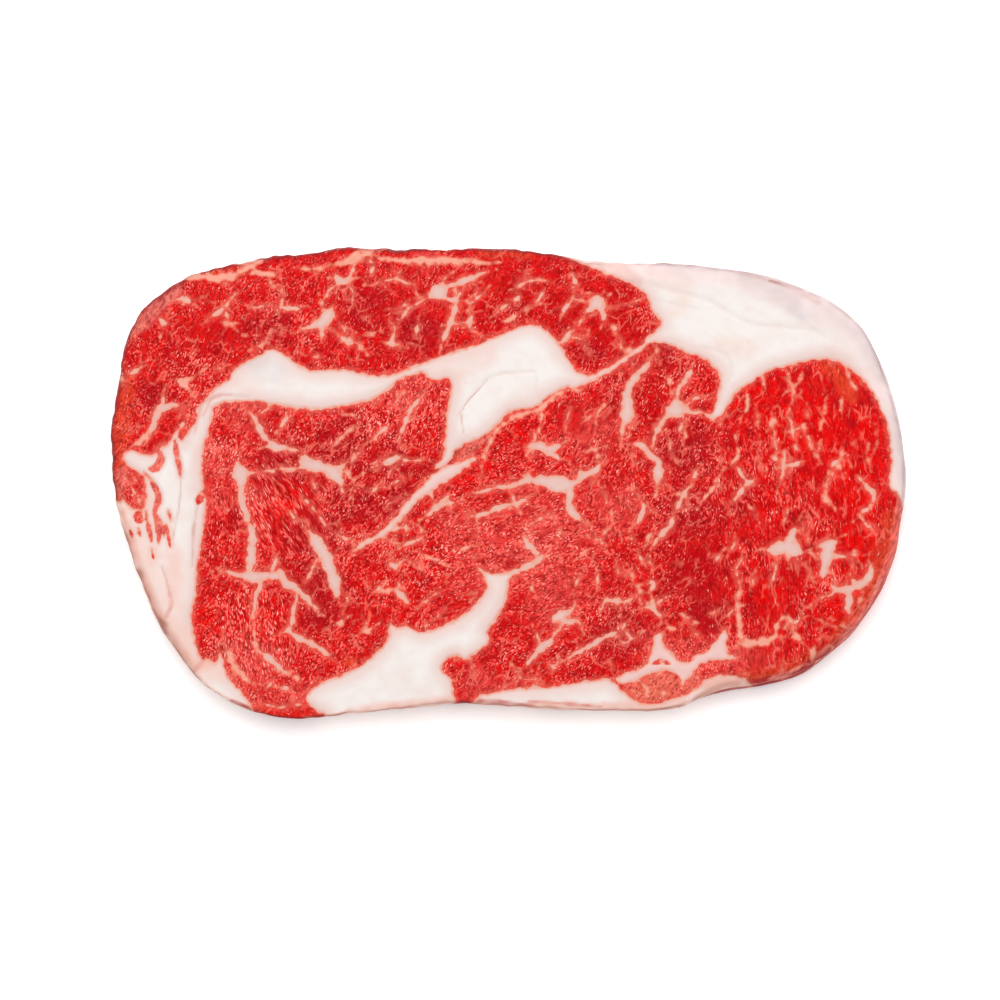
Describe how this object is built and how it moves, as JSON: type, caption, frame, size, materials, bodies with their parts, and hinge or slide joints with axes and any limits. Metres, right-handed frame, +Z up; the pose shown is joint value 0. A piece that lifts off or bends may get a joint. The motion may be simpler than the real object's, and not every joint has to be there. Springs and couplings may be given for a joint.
{
  "type": "raw boneless ribeye steak",
  "caption": "Raw boneless ribeye steak lying flat: marbled red lean in an oval slice, with a white cap of hard fat at one corner and seams of fat between the muscles.",
  "frame": {"origin": "middle of the steak's length and width, on the flat face it lies on", "axes": "+X along the length, towards the end with the fat cap; +Y across the width, towards the edge the cap is nearer; +Z up through the thickness"},
  "size_m": [0.19, 0.1124, 0.025],
  "materials": {
    "raw_beef": "moist raw beef, red lean with white fat"
  },
  "bodies": {
    "root": {"ribeye_steak": "raw_beef"}
  },
  "joints": []
}
